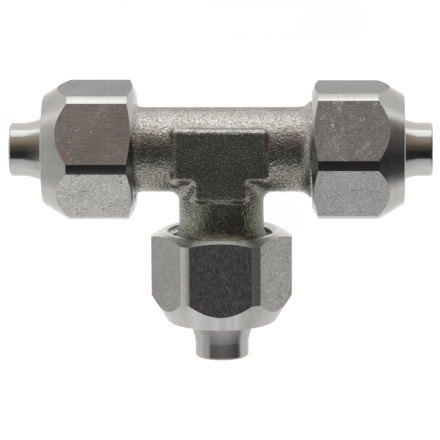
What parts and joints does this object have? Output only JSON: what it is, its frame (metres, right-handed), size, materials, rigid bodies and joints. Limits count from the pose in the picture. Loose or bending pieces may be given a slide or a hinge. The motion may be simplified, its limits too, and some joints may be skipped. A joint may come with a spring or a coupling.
{
  "type": "compression fitting",
  "caption": "Stainless steel tee for soft hose: cast body, turned stems, and union nuts that draw a compression sleeve onto each hose",
  "frame": {"origin": "centre of the bounding box in X and Y, at the level the nuts rest on", "axes": "+X along the run to the right port, -Y along the branch, +Z out of the front pad, up when the fitting lies on its back"},
  "size_m": [0.0464, 0.0306, 0.0156],
  "materials": {
    "cast_steel": "investment-cast and blasted, granular and matt",
    "nut_steel": "drawn hexagon bar, turned cones, satin",
    "stem_steel": "fine-turned, nearly mirror bright",
    "sleeve_steel": "turned, satin"
  },
  "bodies": {
    "tee": {"tee_body": "cast_steel", "left_stem": "stem_steel", "right_stem": "stem_steel", "branch_stem": "stem_steel"},
    "left_sleeve_ring": {"left_sleeve": "sleeve_steel"},
    "left_union_nut": {"left_nut": "nut_steel"},
    "right_sleeve_ring": {"right_sleeve": "sleeve_steel"},
    "right_union_nut": {"right_nut": "nut_steel"},
    "branch_sleeve_ring": {"branch_sleeve": "sleeve_steel"},
    "branch_union_nut": {"branch_nut": "nut_steel"}
  },
  "joints": [
    {"name": "left_sleeve_travel", "type": "slide", "parent": "tee", "child": "left_sleeve_ring", "axis": [-1, 0, 0], "range_m": [-0.0009, 0.0031]},
    {"name": "left_nut_turn", "type": "hinge", "parent": "left_sleeve_ring", "child": "left_union_nut", "pos_m": [-0.01334, 0.00792, 0.00778], "axis": [-1, 0, 0], "range_deg": [-324, 1116]},
    {"name": "right_sleeve_travel", "type": "slide", "parent": "tee", "child": "right_sleeve_ring", "axis": [1, 0, 0], "range_m": [-0.0015, 0.0025]},
    {"name": "right_nut_turn", "type": "hinge", "parent": "right_sleeve_ring", "child": "right_union_nut", "pos_m": [0.01394, 0.00792, 0.00778], "axis": [1, 0, 0], "range_deg": [-540, 900]},
    {"name": "branch_sleeve_travel", "type": "slide", "parent": "tee", "child": "branch_sleeve_ring", "axis": [0, -1, 0], "range_m": [-0.0005, 0.0035]},
    {"name": "branch_nut_turn", "type": "hinge", "parent": "branch_sleeve_ring", "child": "branch_union_nut", "pos_m": [0, -0.00502, 0.00778], "axis": [0, -1, 0], "range_deg": [-180, 1260]}
  ],
  "couplings": [
    {"joint": "left_sleeve_travel", "follows": "left_nut_turn", "m_per_rad": 0.00015915},
    {"joint": "right_sleeve_travel", "follows": "right_nut_turn", "m_per_rad": 0.00015915},
    {"joint": "branch_sleeve_travel", "follows": "branch_nut_turn", "m_per_rad": 0.00015915}
  ]
}
